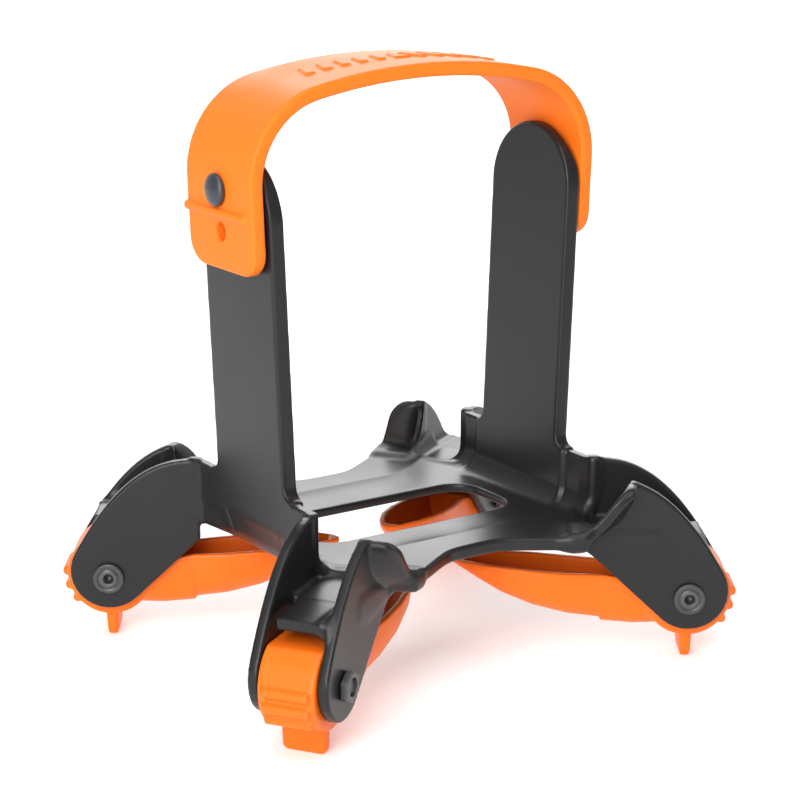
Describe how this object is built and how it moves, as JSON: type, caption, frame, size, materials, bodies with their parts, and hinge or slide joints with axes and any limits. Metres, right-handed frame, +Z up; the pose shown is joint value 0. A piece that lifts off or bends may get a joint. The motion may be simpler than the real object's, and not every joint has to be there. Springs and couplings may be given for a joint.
{
  "type": "boot frame with folding spreader claws",
  "caption": "Boot-worn moulded frame with an instep strap on two uprights and folding claw levers at the tips of splayed clevis legs.",
  "frame": {"origin": "centre of the footprint on the ground plane, under the middle of the platform", "axes": "+X across the foot to its right, +Y along the foot to the toe, +Z up"},
  "size_m": [0.211, 0.1838, 0.2261],
  "materials": {
    "frame_plastic": "satin charcoal moulded plastic",
    "lever_plastic": "satin orange moulded plastic",
    "strap_rubber": "smooth orange rubber",
    "stud_plastic": "dark domed plastic",
    "bolt_black": "black oxide steel",
    "bush_steel": "plain turned steel"
  },
  "bodies": {
    "frame": {"base_frame": "frame_plastic", "strap_stud_left": "stud_plastic", "strap_stud_right": "stud_plastic", "lever_bush_toe_right": "bush_steel", "pivot_bolt_toe_right": "bolt_black", "pivot_nut_toe_right": "bolt_black", "lever_bush_toe_left": "bush_steel", "pivot_bolt_toe_left": "bolt_black", "pivot_nut_toe_left": "bolt_black", "lever_bush_heel_right": "bush_steel", "pivot_bolt_heel_right": "bolt_black", "pivot_nut_heel_right": "bolt_black", "lever_bush_heel_left": "bush_steel", "pivot_bolt_heel_left": "bolt_black", "pivot_nut_heel_left": "bolt_black"},
    "strap": {"instep_strap": "strap_rubber"},
    "lever_toe_right": {"claw_lever_toe_right": "lever_plastic"},
    "lever_toe_left": {"claw_lever_toe_left": "lever_plastic"},
    "lever_heel_right": {"claw_lever_heel_right": "lever_plastic"},
    "lever_heel_left": {"claw_lever_heel_left": "lever_plastic"}
  },
  "joints": [
    {"name": "strap_swing", "type": "hinge", "parent": "frame", "child": "strap", "pos_m": [0, 0, 0.1835], "axis": [1, 0, 0], "range_deg": [-30, 30]},
    {"name": "lever_pivot_toe_right", "type": "hinge", "parent": "frame", "child": "lever_toe_right", "pos_m": [0.0849, 0.0713, 0.026], "axis": [0.5577, -0.83, 0], "range_deg": [0, 150]},
    {"name": "lever_pivot_toe_left", "type": "hinge", "parent": "frame", "child": "lever_toe_left", "pos_m": [-0.0849, 0.0713, 0.026], "axis": [0.5577, 0.83, 0], "range_deg": [0, 150]},
    {"name": "lever_pivot_heel_right", "type": "hinge", "parent": "frame", "child": "lever_heel_right", "pos_m": [0.0849, -0.0713, 0.026], "axis": [-0.5577, -0.83, 0], "range_deg": [0, 150]},
    {"name": "lever_pivot_heel_left", "type": "hinge", "parent": "frame", "child": "lever_heel_left", "pos_m": [-0.0849, -0.0713, 0.026], "axis": [-0.5577, 0.83, 0], "range_deg": [0, 150]}
  ]
}
